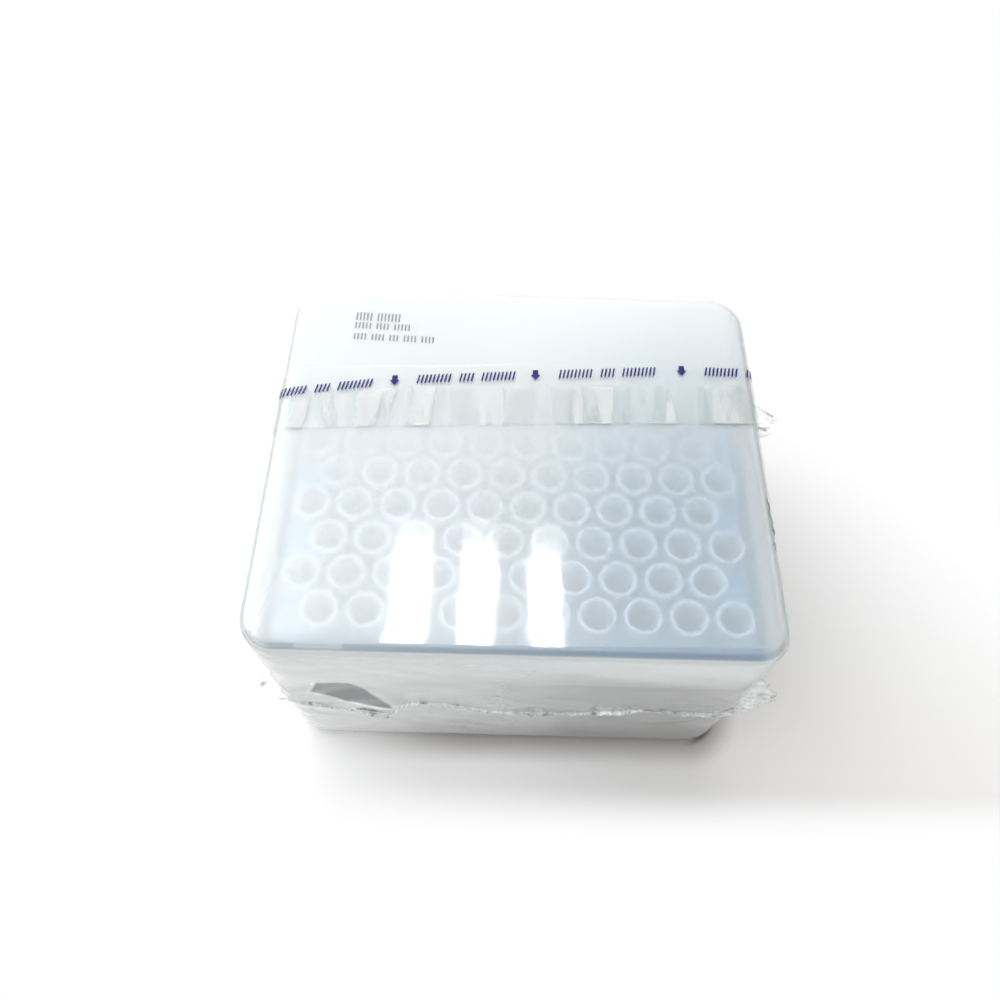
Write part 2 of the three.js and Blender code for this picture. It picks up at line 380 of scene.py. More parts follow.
deckLook = {"colour": (0.34, 0.60, 0.82, 1), "shade": (0.27, 0.52, 0.75, 1), "roughness": 0.42}


def deckFinish():
    material, g = newFinish("deck_plastic")
    cloud = g.clouds(60.0)
    grain = g.clouds(1600.0, 2.0)
    colour = g.blendColour(cloud, deckLook["colour"], deckLook["shade"])
    g.finish(g.principled(Base_Color=colour, Roughness=deckLook["roughness"] + (cloud - 0.5) * 0.1,
                          Normal=g.bump(grain, 0.15, 0.0001)))
    return material


band = {
    "width": 20 * mm,
    "top": 78.05 * mm,
    "end": 36 * mm,  # how low it runs down the side walls
    "wrinkle": 0.34 * mm,
    "step": 0.4 * mm,
    "across": 40,
    "thickness": 0.03 * mm,
    "centre": (18.2 * mm, 0.047, -0.15),  # middle line: y = a + b x + c x^2
    # length in mm, size, power, lean and phase
    "pleats": ((11.7, 0.42, 1.5, 0.10, 0.4), (7.3, 0.36, 2.5, -0.14, 1.9), (4.1, 0.16, 2.0, 0.2, 4.0),
               (17.9, 0.3, 1.0, 0.05, 2.6)),
}


def bandMiddle(x):
    a, b, c = band["centre"]
    return a + b * x + c * x ** 2


# Where folds of the front wall lie flat and clear, with a dark veil painted in as shade: from x, z to x, z,
# half width, all in mm
lenses = ((-48.5, 52.5, -32.5, 30, 8.2), (-42, 30.5, -33.5, 24.5, 2.4))
# the seam's veil is white, and its second colour is the painted shade of its dark dashes
seamLook = {"gloss": 0.06, "roughness": 0.10, "haze": 0.42, "tint": (0.95, 0.96, 0.96, 1),
            "veil": (0.96, 0.97, 0.97, 1), "second": (0.36, 0.37, 0.38, 1), "bump": 0.5, "scale": 700.0,
            "stretch": (1, 1, 1)}
filmLook = {
    # clear film: its second colour is the near-black of the painted shade in the lenses and creases
    "clear_film": {"gloss": 0.042, "roughness": 0.05, "haze": 0.02, "tint": (0.985, 0.99, 0.99, 1),
                   "veil": (0.9, 0.91, 0.91, 1), "second": (0.08, 0.09, 0.11, 1), "bump": 0.10, "scale": 55.0,
                   "stretch": (1, 1, 1)},
    "seam_film": seamLook,
    # a fold of clear film painted dark as shade
    "painted_shade_film": {**seamLook, "haze": 0.5, "veil": (0.16, 0.165, 0.17, 1)},
    # band: its greenish grey veil is the painted shade and its second colour the painted highlight of the
    # pleats' facets
    "band_film": {"gloss": 0.012, "roughness": 0.10, "haze": 0.01, "tint": (0.995, 1.0, 0.998, 1),
                  "veil": (0.60, 0.70, 0.66, 1), "second": (0.97, 0.98, 0.98, 1), "bump": 0.08,
                  "scale": 120.0, "stretch": (1.6, 1, 1)},
}
wallVeil = {"all": 0.15, "left": 0.42, "rim": 0.6, "shade": 0.3, "crinkle": 12.0, "crinkleScale": 520.0}


# How deep each place lies in one lens, a band round a line and widest near its start, and how far
# below that line it is.
def lensDepth(g, x, z, lens):
    startX, startZ, endX, endZ, half = (value * mm for value in lens)
    length = hypot(endX - startX, endZ - startZ)
    wayX, wayZ = (endX - startX) / length, (endZ - startZ) / length
    along = ((x - startX) * wayX + (z - startZ) * wayZ) * (1 / length)
    wobble = (g.clouds(140.0, 2.0) - 0.5) * 3.0 * mm
    below = (x - startX) * wayZ - (z - startZ) * wayX + wobble
    beyond = (along - 1).atLeast(0.0) + (-0.06 - along).atLeast(0.0)
    width = half * (1 - along).atLeast(0.0) ** 0.5 * g.span(along, -0.1, 0.16)
    return width - below.size() - length * beyond, below


creases = {
    "middle": (-30 * mm, 39.5 * mm),
    "half": (3.6 * mm, 6.5 * mm),
    "lean": 0.21,
    "pitch": 0.62 * mm,
    "share": 0.6,
}


# Short dark creases beside the larger lens, which lean to the right on their way down. Their darkness is
# painted shade.
def foldCreases(g, x, z):
    c = creases
    phase = (x + z * c["lean"]) * (2 * pi / c["pitch"]) + g.clouds(260.0) * 7.0
    overX = (x + (z - c["middle"][1]) * c["lean"] - c["middle"][0]).size() * (1 / c["half"][0])
    overZ = (z - c["middle"][1]).size() * (1 / c["half"][1])
    return g.span(phase.sine(), 0.2, 0.9) * (1 - g.span(overX.atLeast(overZ), 0.6, 1.0)) * c["share"]


# Each haze gives a share and how far its colour goes from the veil's to a second one.

# Haze on the walls: streaky clouds, thickest on the left of the front. The lenses have none inside but a dark
# veil of painted shade, and a pale fold for a rim, which is a painted highlight.
def wallHaze(g):
    x, y, z = g.axes()
    v = wallVeil
    onWall = 1 - g.span(z, filmHigh.z - 4 * mm, filmHigh.z - 1.5 * mm)
    onFront = g.span(-1 * y, 48 * mm, 53.5 * mm)
    streaks = g.clouds(60.0, 4.0, (1, 1, 2.2))
    # painted light: more white haze on the left of the front wall, where light falls from the left
    left = onFront * (1 - g.span(x, -45 * mm, 35 * mm)) * (1 - g.span(z, 68 * mm, 76 * mm))
    share = v["all"] * (0.4 + streaks * 1.2) + left * v["left"] * (0.6 + streaks * 0.8)
    # clear also carries the painted shade: the dark veil in the creases and the lenses
    clear = foldCreases(g, x, z) * onFront
    for lens in lenses:
        depth, below = lensDepth(g, x, z, lens)
        clear = (onFront * g.span(depth, 0, 2.0 * mm)).atLeast(clear)
        share = share * (1 - 0.97 * onFront * g.span(depth, 0, 2.0 * mm))
        # painted highlight: a pale fold line round each lens
        rim = g.span(depth, -1.5 * mm, -0.6 * mm) * (1 - g.span(depth, -0.3 * mm, 0.2 * mm))
        rim = rim * g.span(below, 0, 1 * mm)
        share = share + rim * onFront * g.span(streaks, 0.42, 0.55) * v["rim"]
    return (share + clear * v["shade"]) * onWall, clear


# Haze on the band: soft patches along Y, greenish grey and white, on the lid's top between the print and the
# front edge, which shows as a dark line in places on the right. The grey patches are painted shade and the
# white ones painted highlights, for the facets of the pleats.
def bandFacets(g):
    x, y, z = g.axes()
    aside = y - bandMiddle(x)
    front = (1 - g.span(aside, 0.5 * mm, 4 * mm)) * g.span(z, band["top"] - 9 * mm, band["top"] - 1 * mm)
    lean = g.clouds(60.0, 1.0)
    grey = g.span(g.clouds(170.0, 0.5, (1, 0.06, 0.06)) + (lean - 0.5) * 0.2, 0.42, 0.58)
    pale = g.span(g.clouds(210.0, 1.0, (1, 0.1, 0.1)) + (lean - 0.5) * 0.3, 0.48, 0.62)
    line = (1 - g.span(aside, -9.7 * mm, -9.4 * mm)) * g.span(x, 5 * mm, 15 * mm) * g.span(lean, 0.47, 0.55)
    share = grey * 0.09 * g.span(x, -90 * mm, 20 * mm) * (1 - pale) + pale * 0.28
    return front * share + line * 0.4, pale * (1 - line)


# Haze on the seam: white dashes, and dark ones between them. Over the seal's own milky haze, the white dashes
# are painted highlights and the dark ones painted shade.
def seamDashes(g):
    dash = g.clouds(850.0, 2.0, (0.5, 0.5, 1.5))
    bright = g.span(dash, 0.50, 0.56)
    dark = 1 - g.span(dash, 0.34, 0.40)
    return bright * 0.4 + dark * 0.3, dark


# Clear film: see-through, with a mirror share that grows towards grazing, and a little haze.
def filmFinish(name, extraHaze=None):
    material, g = newFinish(name)
    look = filmLook[name]
    cloud = g.clouds(70.0, 4.0)
    ripple = g.clouds(look["scale"], 3.0, look["stretch"])
    share = look["haze"] * (0.6 + cloud * 0.8)
    veilColour = look["veil"]
    if extraHaze:
        more, change = extraHaze(g)
        share = share + more
        if change:
            veilColour = g.blendColour(change, veilColour, look["second"])
    if extraHaze is wallHaze:
        # a fine crinkle where the film turns over the sides
        crinkle = g.clouds(wallVeil["crinkleScale"], 3.0)
        nearSide = g.span(g.axes()[0].size(), boxWidth / 2 - 9 * mm, boxWidth / 2 - 1 * mm)
        ripple = ripple + crinkle * nearSide * wallVeil["crinkle"]
    normal = g.bump(ripple, look["bump"], 0.0004)
    clear = g.shader("ShaderNodeBsdfTransparent", {0: look["tint"]})
    veil = g.principled(Base_Color=veilColour, Roughness=0.5, Normal=normal)
    body = g.mixShader(share, clear, veil)
    mirror = g.principled(Base_Color=(1, 1, 1, 1), Metallic=1.0, Normal=normal,
                          Roughness=look["roughness"] + (cloud - 0.5) * 0.02)
    facing = g.wire("ShaderNodeLayerWeight", {"Blend": 0.5, "Normal": normal}, "Facing")
    g.finish(g.mixShader(look["gloss"] + facing ** 5 * (1 - look["gloss"]), body, mirror))
    return material


def inkFinish(name, colour, worn):
    material, g = newFinish(name)
    cloud = g.clouds(900.0, 2.0)
    g.finish(g.principled(Base_Color=g.blendColour(g.span(cloud, 0.45, 0.75), colour, worn), Roughness=0.5,
                          Specular_IOR_Level=0.2))
    return material


# share of milk on the walls, its colours low down and high up, and the heights between; the colours are painted
# shade, darker low down, and the base's dark all over for the shade on its front wall
lidPlastic = frostedFinish("lid_plastic", 0.84, ((0.48, 0.50, 0.52, 1), (0.93, 0.95, 0.94, 1)),
                           (lidLow.z - 2 * mm, lidLow.z + 9 * mm))
basePlastic = frostedFinish("base_plastic", 0.88, ((0.10, 0.103, 0.108, 1), (0.25, 0.258, 0.275, 1)),
                            (0.0, lidLow.z))
tipPlastic = tipFinish()
deckPlastic = deckFinish()
clearFilm = filmFinish("clear_film", wallHaze)
seamFilm = filmFinish("seam_film", seamDashes)
paintedShadeFilm = filmFinish("painted_shade_film")
bandFilm = filmFinish("band_film", bandFacets)
blueInk = inkFinish("blue_ink", (0.012, 0.008, 0.13, 1), (0.035, 0.03, 0.24, 1))
greyInk = inkFinish("grey_ink", (0.02, 0.021, 0.022, 1), (0.16, 0.165, 0.17, 1))
print("finishes made")


shell = {
    "cornerSteps": 16,
    "ringSteps": (6, 6),
    "softEdge": 0.3 * mm,
    "footWidth": 6 * mm,
    "footHeight": 1 * mm,
    "floorThickness": 1.2 * mm,
    "ledgeInset": 5.8 * mm,
    "ledgeThickness": 1.5 * mm,
    "rimDepth": 2 * mm,
    "upstandInset": 1.8 * mm,
    "upstandWall": 1.2 * mm,
    "upstandHeight": 3 * mm,
    "ledgeBelowDeck": 12.3 * mm,
    "skirtGap": 0.3 * mm,
    "innerRadius": 1 * mm,
}

deckTop = deckHigh.z - plan["deckRise"]
ledgeTop = deckTop - shell["ledgeBelowDeck"]
parting = lidLow.z
boxOutline = walkOutline(boxWidth, boxDepth, plan["cornerRadius"], shell["cornerSteps"], *shell["ringSteps"])


# A line of (offset, height) carried round the box, both its ends closed to a pole at the middle.
def makeShell(name, line, finish, node):
    start, end = ([(offset, height, shrink) for shrink in (0, 0.5)] for offset, height in (line[0], line[-1]))
    grid = carry(boxOutline, start + [(*row, 1) for row in line] + end[::-1])
    points, faces = weldGrid(grid)
    makePiece(name, points, faces, finish, [node])


# The base: out under the foot, up the wall, over the upstand that enters the lid, down past the
# ledge that carries the deck, and in over the floor.
def makeBase():
    s, soft = shell, shell["softEdge"]
    bottom = baseLow.z
    floorTop = bottom + s["footHeight"] + s["floorThickness"]
    shoulder = baseHigh.z - s["upstandHeight"]
    rimInset = s["upstandInset"] + s["upstandWall"]
    line = roundedLine([
        (-s["footWidth"] - 4 * mm, bottom + s["footHeight"], 0),
        (-s["footWidth"], bottom + s["footHeight"], 0),
        (-s["footWidth"], bottom, soft),
        (0, bottom, plan["edgeRadius"]),
        (0, shoulder, soft),
        (-s["upstandInset"], shoulder, 0),
        (-s["upstandInset"], baseHigh.z, soft),
        (-rimInset, baseHigh.z, soft),
        (-rimInset, shoulder - s["rimDepth"], 0),
        (-plan["wall"], shoulder - s["rimDepth"], 0),
        (-plan["wall"], ledgeTop, 0),
        (-s["ledgeInset"], ledgeTop, soft),
        (-s["ledgeInset"], ledgeTop - s["ledgeThickness"], soft),
        (-plan["wall"], ledgeTop - s["ledgeThickness"], 0),
        (-plan["wall"], floorTop, s["innerRadius"]),
        (-plan["wall"] - 4 * mm, floorTop, 0),
    ])
    makeShell("base_shell", line, basePlastic, "base_box")


# The lid: out along its underside, down the inside of the skirt and back up outside.
def makeLid():
    soft = shell["softEdge"]
    top, inner = lidHigh.z, lidHigh.z - plan["lidThickness"]
    line = roundedLine([
        (-plan["wall"] - 4 * mm, inner, 0),
        (-plan["wall"], inner, shell["innerRadius"]),
        (-plan["wall"], parting, soft),
        (0, parting, soft),
        (0, top, plan["edgeRadius"]),
        (-6 * mm, top, 0),
    ], 6)
    makeShell("lid_shell", line, lidPlastic, "hinged_lid")


hinge = {
    "spacing": 72 * mm,
    "length": 20 * mm,
    "radius": 1.6 * mm,
    "pinRadius": 0.65 * mm,
    "lugWidth": 3 * mm,
    "lugRoot": 4 * mm,
    "gap": 0.3 * mm,
    "sides": 20,
}


# A short bar along X: a ring of points at each end, closed to a pole.
def barGrid(x, y, z, radius, length, root=0.0):
    turn = np.arange(hinge["sides"]) / hinge["sides"] * 2 * pi
    along = np.array([-0.5, -0.5, 0.5, 0.5]) * length
    size = np.array([0, 1, 1, 0]) * radius
    down = np.where(np.sin(turn) < -0.3, -root, 0.0)  # the lower side is drawn down into a root
    ringY = y + size[:, None] * np.cos(turn)
    ringZ = z + size[:, None] * np.sin(turn) + (size > 0)[:, None] * down
    return np.stack([np.broadcast_to(x + along[:, None], ringY.shape), ringY, ringZ], axis=2)


def makeHinges():
    h = hinge
    axisY = boxDepth / 2 - h["radius"]
    axisZ = parting + h["radius"] + h["gap"]
    centres = [-h["spacing"] / 2, h["spacing"] / 2]
    lugShift = (h["length"] - h["lugWidth"]) / 2
    barrel = h["length"] - 2 * (h["lugWidth"] + h["gap"])
    lugs = [barGrid(x + side * lugShift, axisY, axisZ, h["radius"], h["lugWidth"], h["lugRoot"])
            for x in centres for side in (-1, 1)]
    lugs += [barGrid(x, axisY, axisZ, h["pinRadius"], h["length"] - h["lugWidth"]) for x in centres]
    barrels = [barGrid(x, axisY, axisZ, h["radius"], barrel, -h["lugRoot"] / 2) for x in centres]
    for name, bars in (("hinge_lugs", lugs), ("hinge_barrels", barrels)):
        quads = gridQuads(*bars[0].shape[:2], wrapColumns=True)
        quads = copiedQuads(quads, len(bars), bars[0].size // 3)
        points, faces = weld(np.array(bars).reshape(-1, 3), quads)
        makePiece(name, points, [part[:, ::-1] for part in faces], basePlastic)


makeBase()
makeLid()
makeHinges()


tips = {
    "perRow": 10,
    "rows": 10,
    "pitch": 11 * mm,
    "sides": 24,
    "headRadius": 4.65 * mm,
    "boreRadius": 3.75 * mm,
    "shoulderRadius": 3.45 * mm,
    "waistRadius": 2.55 * mm,
    "waistDrop": 42 * mm,
    "pointRadius": 0.8 * mm,
    "pointBore": 0.45 * mm,
    "lip": 0.25 * mm,
    "collar": 2.2 * mm,  # below the rim, where the head is a little wider
    "collarStep": 0.3 * mm,
}
rowPitch = tips["pitch"] * sqrt(3) / 2
columnIndex, rowIndex = np.meshgrid(np.arange(tips["perRow"]), np.arange(tips["rows"]))
tipPlaces = np.stack([
    (columnIndex - (tips["perRow"] - 1) / 2 + np.where(rowIndex % 2 == 0, 0.25, -0.25)) * tips["pitch"],
    (rowIndex - (tips["rows"] - 1) / 2) * rowPitch,
], axis=2).reshape(-1, 2)


# Hollow tips: one closed profile, up the outside from the point and down the bore, turned round
# each place at once. Points are place + radius * (cos, sin) at each height.
def makeTips():
    s = tips
    rim, point = deckHigh.z, deckLow.z
    foot = deckTop + 0.05 * mm
    body = s["headRadius"] - s["collarStep"]
    profile = np.array([
        (s["pointRadius"], point),
        (s["waistRadius"], rim - s["waistDrop"]),
        (s["shoulderRadius"], foot),
        (body, foot),
        (body, rim - s["collar"]),
        (s["headRadius"], rim - s["collar"] + s["lip"]),
        (s["headRadius"], rim - s["lip"]),
        (s["headRadius"] - s["lip"], rim),
        (s["boreRadius"] + s["lip"], rim),
        (s["boreRadius"], rim - s["lip"]),
        (s["boreRadius"] - 0.5 * mm, foot),
        (s["pointBore"], point),
    ])
    circle = circleAt(np.arange(s["sides"]) / s["sides"] * 2 * pi)
    flat = tipPlaces[:, None, None, :] + profile[None, :, None, :1] * circle[None, None]
    level = np.broadcast_to(profile[None, :, None, 1:], flat.shape[:3] + (1,))
    points = np.concatenate([flat, level], axis=3).reshape(-1, 3)
    quads = gridQuads(len(profile), s["sides"], wrapRows=True, wrapColumns=True)
    quads = copiedQuads(quads, len(tipPlaces), len(profile) * s["sides"])
    makePiece("pipette_tips", points, [quads], tipPlastic, ["tip_deck"])


deck = {
    "thickness": 1.6 * mm,
    "holeRadius": 3.6 * mm,
    "skirt": 12 * mm,
    "wall": 1.2 * mm,
    "cornerRadius": 4.7 * mm,
    "stepsAcross": 8,  # quads along a cell's long edge, so that shifted rows meet
    "stepsUp": 4,
}


def atLevel(flat, z):
    return np.column_stack([flat, np.full(len(flat), z)])


# The walk round a rectangle of across by up steps, counterclockwise from its lower right corner.
def rectangleWalk(halfX, halfY, across, up):
    right = np.stack([np.full(up, halfX), np.linspace(-halfY, halfY, up, endpoint=False)], axis=1)
    top = np.stack([np.linspace(halfX, -halfX, across, endpoint=False), np.full(across, halfY)], axis=1)
    return np.concatenate([right, top, -right, -top])


# The deck: rings blend each hole into its own cell of the plate, cells lie like bricks, and a frame
# of quads joins them to the rounded outline, which turns down into the skirt.
def makeDeck():
    d = deck
    halfX, halfY = tips["pitch"] / 2, rowPitch / 2
    count = 2 * (d["stepsAcross"] + d["stepsUp"])
    circle = d["holeRadius"] * circleAt(np.arange(count) / count * 2 * pi - pi / 6)
    cell = rectangleWalk(halfX, halfY, d["stepsAcross"], d["stepsUp"])
    low = deckTop - d["thickness"]
    # Round each hole: out along the top from the hole's lip, and back along the underside.
    rings = [(circle * 1.0, low), (circle * 1.0, deckTop - 0.2 * mm), (circle * 1.05, deckTop), (cell, deckTop)]
    top = np.stack([atLevel(*ring) for ring in rings])
    under = np.stack([atLevel(cell, low), atLevel(circle, low)])
    blocks, quadBlocks = [], []

    def add(points, quads):
        quadBlocks.append(quads + sum(map(len, blocks)))
        blocks.append(points.reshape(-1, 3))

    shift = atLevel(tipPlaces, 0)
    for grid in (top, under):
        quads = gridQuads(*grid.shape[:2], wrapColumns=True)[:, ::-1]
        add(grid[None] + shift[:, None, None, :], copiedQuads(quads, len(shift), len(grid) * count))
    # The half cell left free at one end of each row, and the frame round all of them.
    fieldX = tips["perRow"] * halfX + tips["pitch"] / 4
    fieldY = tips["rows"] * halfY
    stepX = tips["pitch"] / d["stepsAcross"]
    for level, flip in ((deckTop, 1), (low, -1)):
        for row in range(tips["rows"]):
            side = -1 if row % 2 == 0 else 1
            x = side * (fieldX - np.arange(d["stepsAcross"] // 2 + 1)[::side] * stepX)
            y = (row - tips["rows"] / 2) * rowPitch + np.linspace(0, rowPitch, d["stepsUp"] + 1)
            add(np.stack(np.meshgrid(x, y, level), axis=3), gridQuads(len(y), len(x))[:, ::flip])
    field = rectangleWalk(fieldX, fieldY, round(2 * fieldX / stepX), tips["rows"] * d["stepsUp"])
    outer = np.array([boxWidth, boxDepth]) / 2 - plan["deckInset"]
    radius = d["cornerRadius"]

    # The field's walk pushed out to the rounded rectangle of a given inset.
    def rim(inset):
        spread = field * outer / [fieldX, fieldY]
        core = np.clip(spread, radius - outer, outer - radius)
        away = spread - core
        away /= np.maximum(np.linalg.norm(away, axis=1, keepdims=True), 1e-9)
        return core + (radius - inset) * away

    soft, bevel = 0.5 * mm, 0.15 * mm
    bottom = deckTop - d["skirt"]
    rows = [(field, low), (rim(d["wall"]), low), (rim(d["wall"]), bottom), (rim(0), bottom),
            (rim(0), deckTop - soft), (rim(bevel), deckTop - bevel), (rim(soft), deckTop), (field, deckTop)]
    add(np.stack([atLevel(*row) for row in rows]), gridQuads(len(rows), len(field), wrapColumns=True))
    points, faces = weld(np.concatenate(blocks), np.concatenate(quadBlocks))
    makePiece("tip_rack", points, faces, deckPlastic)


makeTips()
makeDeck()


film = {
    "offset": 0.45 * mm,  # outside the box
    "top": 77.8 * mm,
    "bottom": 0.2 * mm,
    "edge": 2.4 * mm,
    "cornerSteps": 14,
    "sideSteps": (96, 80),
    "wallRows": 46,
    "topRings": 34,
    "bulge": 0.25 * mm,
    "thickness": 0.1 * mm,
}
seamLine = {  # height of the seam along the front wall, left to right
    "x": np.array([-64, -56, -46, -34, -29, -24, -17, -9, 0, 20, 35, 52, 64]) * mm,
    "z": np.array([35, 36, 30, 23, 35, 38, 37, 33, 30, 31, 36, 34, 33]) * mm,
    "elsewhere": 33 * mm,
    "wave": 1.6 * mm,
}
rng = np.random.default_rng(11)


# A smooth wandering value: a sum of sines of falling size with fixed random phases.
def wander(values, length, terms=5):
    phase = rng.uniform(0, 2 * pi, terms)
    rate = 2 * pi / (length / (1 + 0.83 * np.arange(terms)))
    size = 1 / (1 + np.arange(terms))
    waves = size * np.sin(values[..., None] * rate + phase)
    return waves.sum(axis=-1) / size.sum()


# How high the seam runs at each point of a walk round the box.
def seamHeight(x, y, walked):
    front = np.interp(x, seamLine["x"], seamLine["z"])
    other = seamLine["elsewhere"] + seamLine["wave"] * wander(walked, 0.09)
    share = np.clip((-y - boxDepth * 0.38) / (boxDepth * 0.1), 0, 1)
    return other + (front - other) * share


def smoothStep(value, low, high):
    t = np.clip((value - low) / (high - low), 0, 1)
    return t * t * (3 - 2 * t)


# The envelope: a profile carried round the box. On the walls each point moves in or out by folds
# that fan from the corners at the seam. The top is almost flat.
def makeFilm():
    f = film
    outline = walkOutline(boxWidth, boxDepth, plan["cornerRadius"], f["cornerSteps"], *f["sideSteps"])
    wall = np.linspace(0, 1, f["wallRows"] + 1)
    low, high = f["bottom"] + f["edge"], f["top"] - f["edge"]
    level = low + (high - low) * wall
    arc = np.linspace(0, pi / 2, 7)
    drop, inset = f["edge"] * (1 - np.cos(arc)), f["edge"] * (1 - np.sin(arc))
    lower = [(f["offset"] - i, f["bottom"] + d, 1) for i, d in zip(inset[:-1], drop)]
    upper = [(f["offset"] - d, f["top"] - i, 1) for i, d in zip(inset[1:], drop[1:])]
    walls = [(f["offset"], z, 1) for z in level]
    inward = 1 - np.linspace(0, 1, f["topRings"] + 1)[1:] ** 0.9
    top = [(upper[-1][0], f["top"], s) for s in inward]
    under = [(lower[0][0], f["bottom"], s) for s in (0, 0.5, 0.9)]
    profile = under + lower + walls + upper + top
    grid = carry(outline, profile)
    x, y, z = grid[..., 0], grid[..., 1], grid[..., 2]
    # Folds on the walls
    normal = np.concatenate([outline[1], np.zeros((len(outline[1]), 1))], axis=1)[None]
    onWall = smoothStep(z, 1 * mm, 8 * mm) * (1 - smoothStep(z, 66 * mm, 75 * mm))
    walked = np.arctan2(y, x) * 0.06
    push = f["bulge"] * onWall * (0.3 + wander(walked, 0.05) + 0.6 * wander(z + walked * 0.4, 0.03))
    for cornerX, cornerY in ((-1, -1), (1, -1), (1, 1), (-1, 1)):
        far = np.where(np.abs(x) > boxWidth / 2 - plan["cornerRadius"], np.abs(y - cornerY * boxDepth / 2),
                       np.abs(x - cornerX * boxWidth / 2))
        rise = z - 35 * mm
        near = np.exp(-((far / (22 * mm)) ** 2 + (rise / (16 * mm)) ** 2))
        near = near * onWall * (x * cornerX > 0) * (y * cornerY > 0)
        angle = np.arctan2(rise, far + 3 * mm)
        push = push + 0.35 * mm * near * (np.sin(angle * 13 + cornerX) + 0.5 * np.sin(angle * 23 + cornerY))
    push = np.maximum(push, -0.35 * mm)
    # The flat top, which falls a little in front of a crease along its front edge
    onTop = smoothStep(z, f["top"] - 0.3 * mm, f["top"] - 0.02 * mm)
    ripple = 0.004 * mm * (wander(x + 0.3 * y, 0.017) + wander(y, 0.025))
    fall = np.maximum(0, -boxDepth / 2 + 4.4 * mm - y) * 0.03
    lift = onTop * (ripple - np.minimum(fall, 0.4 * mm))
    grid = grid + push[..., None] * normal
    grid[..., 2] += lift
    points, faces = weldGrid(grid)
    piece = makePiece("film_envelope", points, faces, clearFilm, ["film_wrap"], 180)
    thicken(piece, f["thickness"], -1)


seam = {
    "width": 1.3 * mm,
    "curl": 0.45 * mm,
    "across": 6,
    "crumple": 0.34 * mm,
    "thickness": 0.12 * mm,
    # corner flaps: side in x, side in y, reach, length along the side wall, length along the front
    "ears": ((1, -1, 9.0, 17, 9), (-1, -1, 4.6, 15, 8), (-1, 1, 9.0, 17, 8), (1, 1, 4.2, 15, 8)),
}


# The seam: a strip round the walls. At a share across it is outline + normal * width * share + ear,
# and its height curls and crumples more towards its edge.
def makeSeam():
    s = seam
    core, normal, radius = walkOutline(boxWidth, boxDepth, plan["cornerRadius"], 26, 250, 210)
    root = core + (radius + film["offset"]) * normal
    walked = np.concatenate([[0], np.cumsum(np.linalg.norm(np.diff(root, axis=0), axis=1))])
    x, y = root.T
    height = seamHeight(x, y, walked)
    width = s["width"] * (0.75 + 0.45 * wander(walked, 0.021))
    ear = np.zeros(len(x))
    for sideX, sideY, reach, back, front in s["ears"]:
        alongSide = np.maximum(0, boxDepth / 2 - 5 * mm - sideY * y) / (back * mm)
        alongFront = np.maximum(0, boxWidth / 2 - sideX * x) / (front * mm)
        shape = np.clip(1 - alongSide, 0, 1) ** 1.3 * np.clip(1 - alongFront, 0, 1) ** 1.5
        ear += sideX * reach * mm * shape * (sideX * x > 0) * (sideY * y > 0)
    share = np.linspace(0, 1, s["across"] + 1)[:, None]
    ragged = 1 + 0.2 * wander(walked, 0.006) + 0.16 * wander(walked, 0.0023)
    out = root[None] + (share * width)[..., None] * normal[None]
    out = out + np.stack([share * (ear * ragged)[None], np.zeros((len(share), len(x)))], axis=2)
    curl = s["curl"] * (wander(walked, 0.034) * 1.5 + 0.25)
    wrinkle = 0.7 * wander(walked, 0.009) + 0.8 * wander(walked, 0.0043) + 0.6 * wander(walked, 0.0021)
    growth = s["crumple"] * (1 + np.abs(ear) / (3 * mm) * 0.9)
    z = height[None] + curl[None] * share ** 2 + (growth * wrinkle)[None] * share ** 0.8
    grid = np.concatenate([out, z[..., None]], axis=2)
    quads = gridQuads(*grid.shape[:2], wrapColumns=True)
    piece = makePiece("seam_fin", grid.reshape(-1, 3), [quads[:, ::-1]], seamFilm, sharpAngle=180)
    thicken(piece, s["thickness"], 0)


bandHalf = boxWidth / 2 + film["offset"] + 0.15 * mm


# Pleats across the band: a sum of sine ridges along Y that lean a little, strongest in front and
# almost gone under the printed line.
def bandPleats(along, across):
    pleats = 0
    for length, size, power, lean, phase in band["pleats"]:
        shift = 1.1 * np.sin(across / (6.1 * mm) + phase) + 0.6 * np.sin(across / (2.7 * mm) + 2 * phase)
        wave = np.sin((along + lean * across) * 2 * pi / (length * mm) + phase + 0.5 * shift)
        pleats = pleats + size * (0.5 + 0.5 * wave) ** power
    fade = 0.12 + 0.88 * (1 - smoothStep(across, 0.5 * mm, 5 * mm))
    fade = fade * (0.35 + 0.65 * smoothStep(across, -band["width"] / 2, -band["width"] / 2 + 2.5 * mm))
    fade = fade * (1 - 0.8 * smoothStep(np.abs(along), boxWidth / 2 - 6 * mm, boxWidth / 2 - 1 * mm))
    return band["wrinkle"] * pleats * fade


# Position and outward normal in the XZ plane at a distance along the band from the lid's middle.
def bandPath(along):
    edge = film["edge"]
    flat = bandHalf - edge
    bend = edge * pi / 2
    side, run = np.sign(along), np.abs(along)
    turn = np.clip((run - flat) / bend, 0, 1) * pi / 2
    x = np.minimum(run, flat) + edge * np.sin(turn)
    z = band["top"] - edge * (1 - np.cos(turn)) - np.maximum(run - flat - bend, 0)
    return side * x, z, side * np.sin(turn), np.cos(turn)


def bandPoint(along, across, lift):
    x, z, normalX, normalZ = bandPath(along)
    rise = bandPleats(along, across) + lift
    y = bandMiddle(x) + across
    return np.stack([x + normalX * rise, y, z + normalZ * rise], axis=-1)


